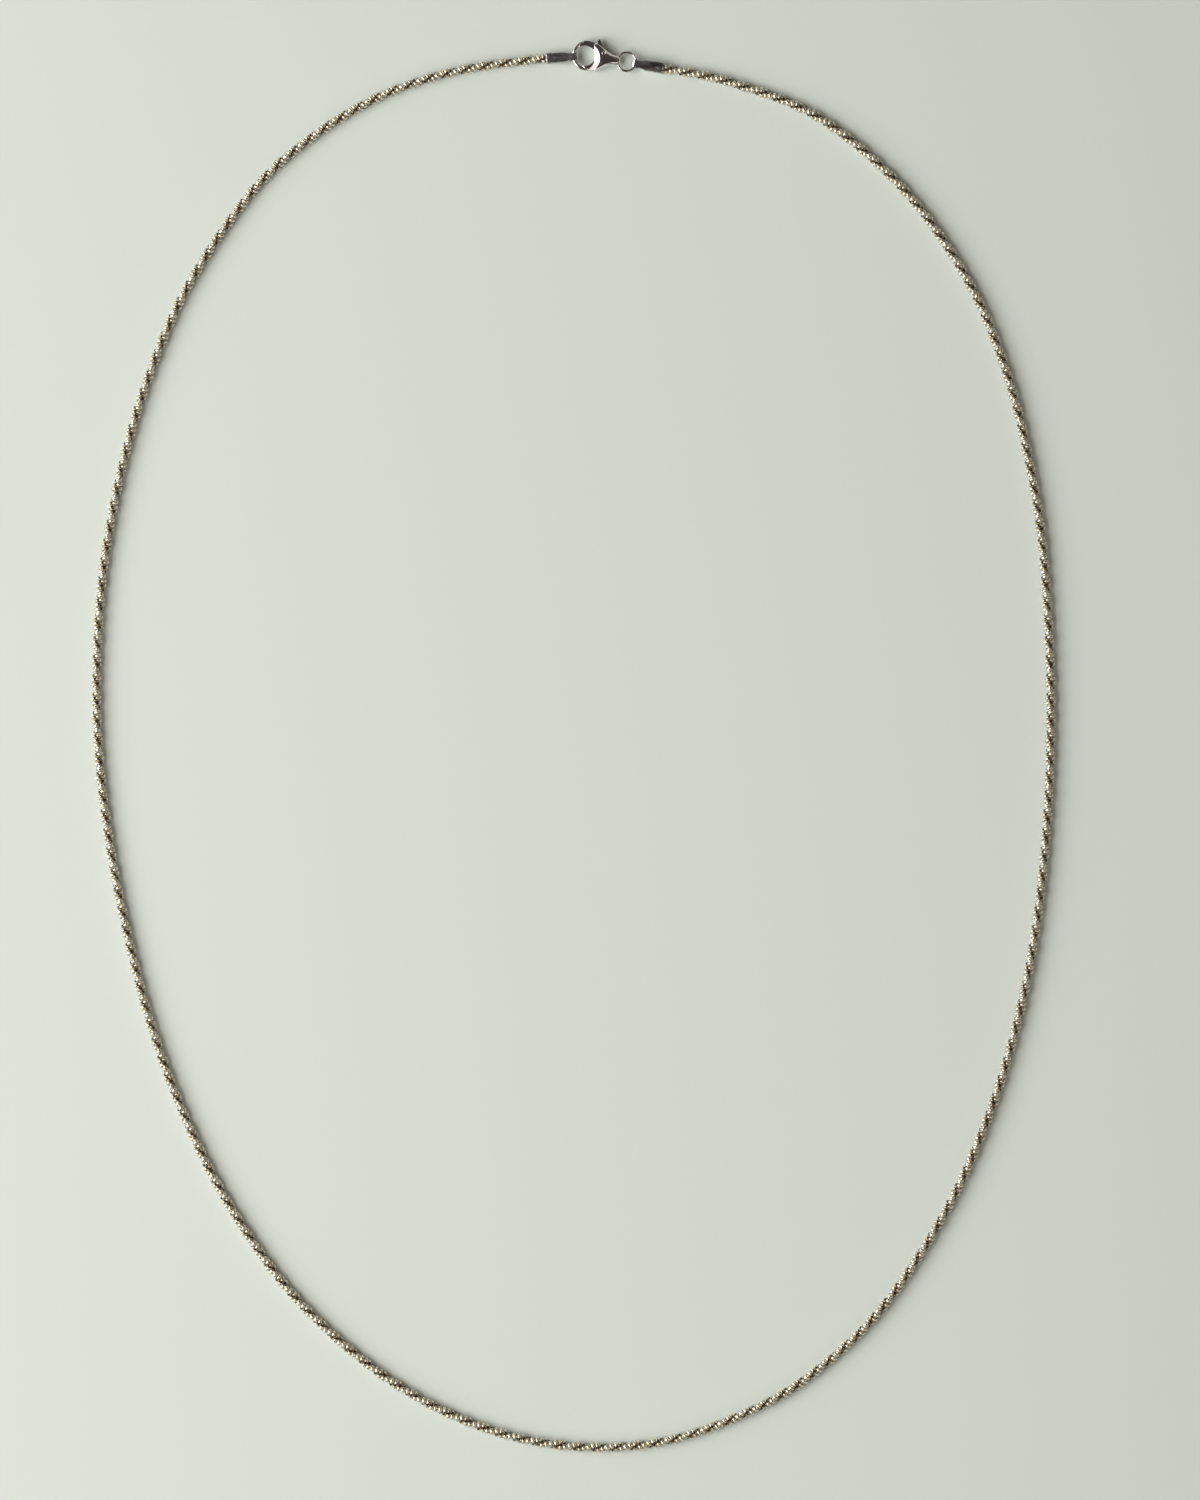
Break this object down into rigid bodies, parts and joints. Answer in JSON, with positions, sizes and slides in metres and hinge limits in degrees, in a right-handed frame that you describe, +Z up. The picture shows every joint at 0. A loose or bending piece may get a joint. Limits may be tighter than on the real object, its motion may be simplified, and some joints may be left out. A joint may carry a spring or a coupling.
{
  "type": "rope chain necklace",
  "caption": "Slim silver rope chain necklace closed in a loop by a small trigger clasp, laid flat.",
  "frame": {"origin": "middle of the whole necklace, on the surface that it lies on", "axes": "+Y along the loop towards the clasp, +X across the loop, +Z up from the surface"},
  "size_m": [0.1562, 0.229, 0.002],
  "materials": {
    "rope_silver": "polished silver links, darker in the hollows between them",
    "cap_silver": "polished silver strip with fine scratches",
    "ring_silver": "polished silver wire",
    "clasp_silver": "polished cast silver"
  },
  "bodies": {
    "necklace": {"rope_chain": "rope_silver", "end_cap_left": "cap_silver", "end_cap_right": "cap_silver", "jump_ring": "ring_silver", "clasp_body": "clasp_silver", "clasp_rivet": "clasp_silver"},
    "lever": {"clasp_lever": "clasp_silver"}
  },
  "joints": [
    {"name": "lever_pivot", "type": "hinge", "parent": "necklace", "child": "lever", "pos_m": [0.00491, 0.11218, 0.001], "axis": [0, 0, 1], "range_deg": [0, 22], "stiffness_Nm_per_rad": 0.004, "springref_deg": -8.59}
  ]
}
